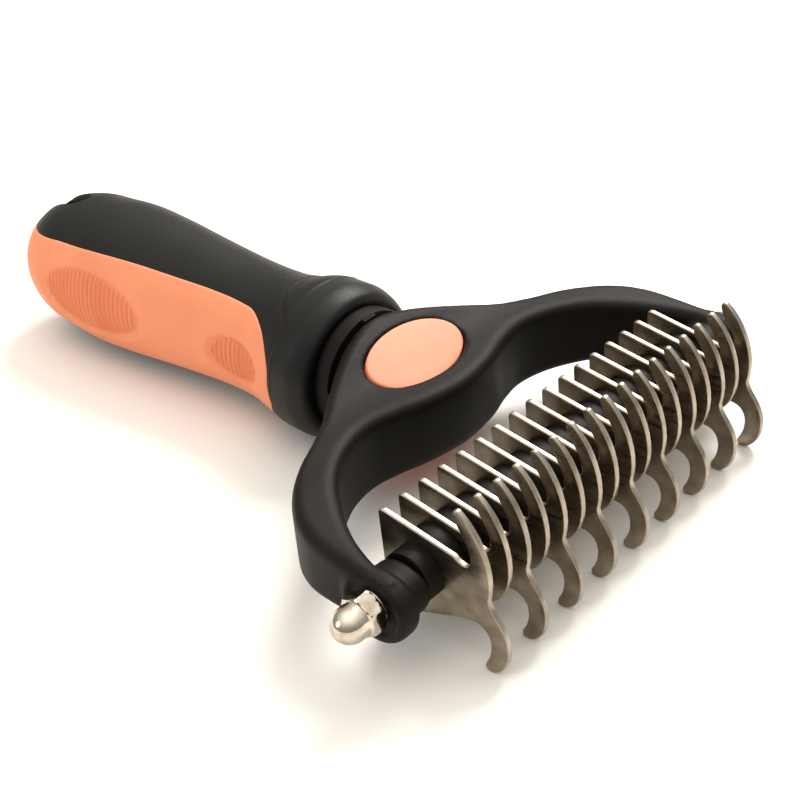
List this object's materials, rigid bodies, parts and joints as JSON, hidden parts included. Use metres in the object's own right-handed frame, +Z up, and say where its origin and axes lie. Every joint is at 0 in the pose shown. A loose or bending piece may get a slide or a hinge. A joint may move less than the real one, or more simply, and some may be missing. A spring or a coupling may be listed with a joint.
{
  "type": "undercoat rake",
  "caption": "Double-sided dematting rake: a forked yoke carries stamped steel blades, fine teeth above and coarse hooks below, on a cross axle, with a soft-grip handle.",
  "frame": {"origin": "on the table, under the middle of the overall box", "axes": "+X along the axle to the user's right, +Y from the blades to the handle's tail, +Z up with the fine teeth on top"},
  "size_m": [0.1154, 0.1732, 0.0332],
  "materials": {
    "black_plastic": "fine spark-eroded grain",
    "soft_black": "smooth soft-touch",
    "soft_orange": "smooth soft-touch with ribbed ovals",
    "badge_peach": "satin",
    "blade_steel": "satin, tumbled edges",
    "nickel": "bright nickel plate",
    "plain_steel": "plain turned steel"
  },
  "bodies": {
    "root": {"yoke": "black_plastic", "neck_collar": "black_plastic", "badge_top": "badge_peach", "badge_bottom": "badge_peach", "handle_shell": "soft_black", "grip_wrap": "soft_orange", "handle_core": "black_plastic", "spigot_pin": "plain_steel", "axle_rod": "plain_steel", "blade_01": "blade_steel", "blade_02": "blade_steel", "blade_03": "blade_steel", "blade_04": "blade_steel", "blade_05": "blade_steel", "blade_06": "blade_steel", "blade_07": "blade_steel", "blade_08": "blade_steel", "blade_09": "blade_steel", "blade_10": "blade_steel", "blade_11": "blade_steel", "blade_12": "blade_steel", "blade_13": "blade_steel", "blade_14": "blade_steel", "blade_15": "blade_steel", "blade_16": "blade_steel", "blade_17": "blade_steel", "spacer_01": "black_plastic", "spacer_02": "black_plastic", "spacer_03": "black_plastic", "spacer_04": "black_plastic", "spacer_05": "black_plastic", "spacer_06": "black_plastic", "spacer_07": "black_plastic", "spacer_08": "black_plastic", "spacer_09": "black_plastic", "spacer_10": "black_plastic", "spacer_11": "black_plastic", "spacer_12": "black_plastic", "spacer_13": "black_plastic", "spacer_14": "black_plastic", "spacer_15": "black_plastic", "spacer_16": "black_plastic", "end_sleeve_left": "black_plastic", "washer_left": "nickel", "end_sleeve_right": "black_plastic", "washer_right": "nickel", "acorn_nut": "nickel", "bolt_head": "nickel"}
  },
  "joints": []
}
